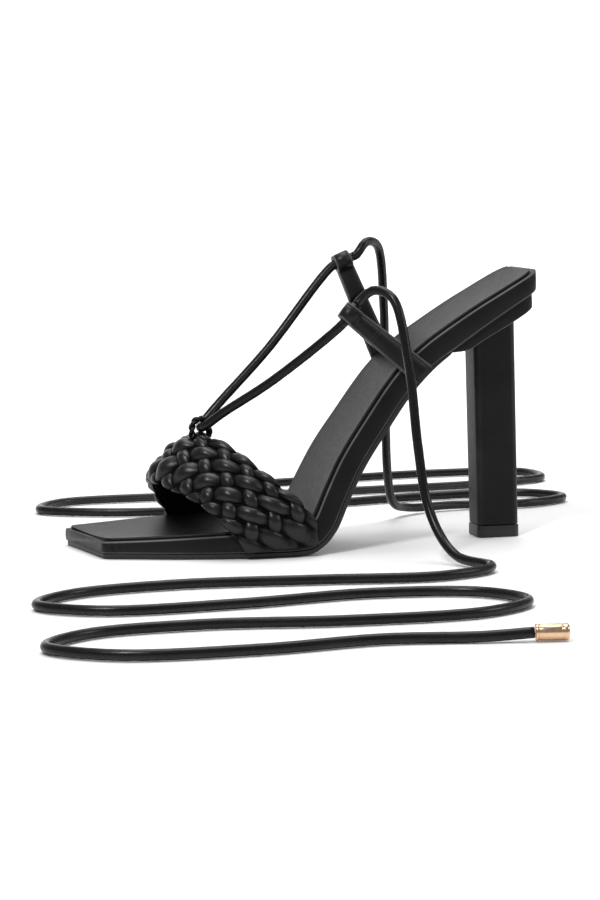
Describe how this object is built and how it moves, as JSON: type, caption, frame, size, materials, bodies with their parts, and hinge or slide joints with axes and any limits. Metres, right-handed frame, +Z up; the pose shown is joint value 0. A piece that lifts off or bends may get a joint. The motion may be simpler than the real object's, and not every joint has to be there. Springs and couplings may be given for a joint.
{
  "type": "lace up heeled sandal",
  "caption": "Women's square-toe sandal with a high slim block heel, braided toe strap, side straps with folded eyes and a round cord that ties up the leg.",
  "frame": {"origin": "middle of the shoe's box, without the free laces, on the floor", "axes": "+X from the toe to the heel, -Y to the lateral side, +Z up from the floor"},
  "size_m": [0.312, 0.474, 0.1303],
  "materials": {
    "outsole_rubber": "matte",
    "wrap_leather": "satin",
    "insole_leather": "satin",
    "heel_tip_rubber": "satin",
    "braid_leather": "satin",
    "strap_leather": "satin",
    "cord_leather": "satin",
    "tip_metal": "polished"
  },
  "bodies": {
    "root": {"outsole": "outsole_rubber", "platform": "wrap_leather", "insole": "insole_leather", "heel": "wrap_leather", "heel_tip": "heel_tip_rubber", "vamp": "braid_leather", "throat_loop": "cord_leather", "strap_lateral": "strap_leather", "strap_medial": "strap_leather", "lace_bridle": "cord_leather", "tie_lateral": "cord_leather", "tie_medial": "cord_leather", "tip_lateral": "tip_metal", "tip_medial": "tip_metal"}
  },
  "joints": []
}
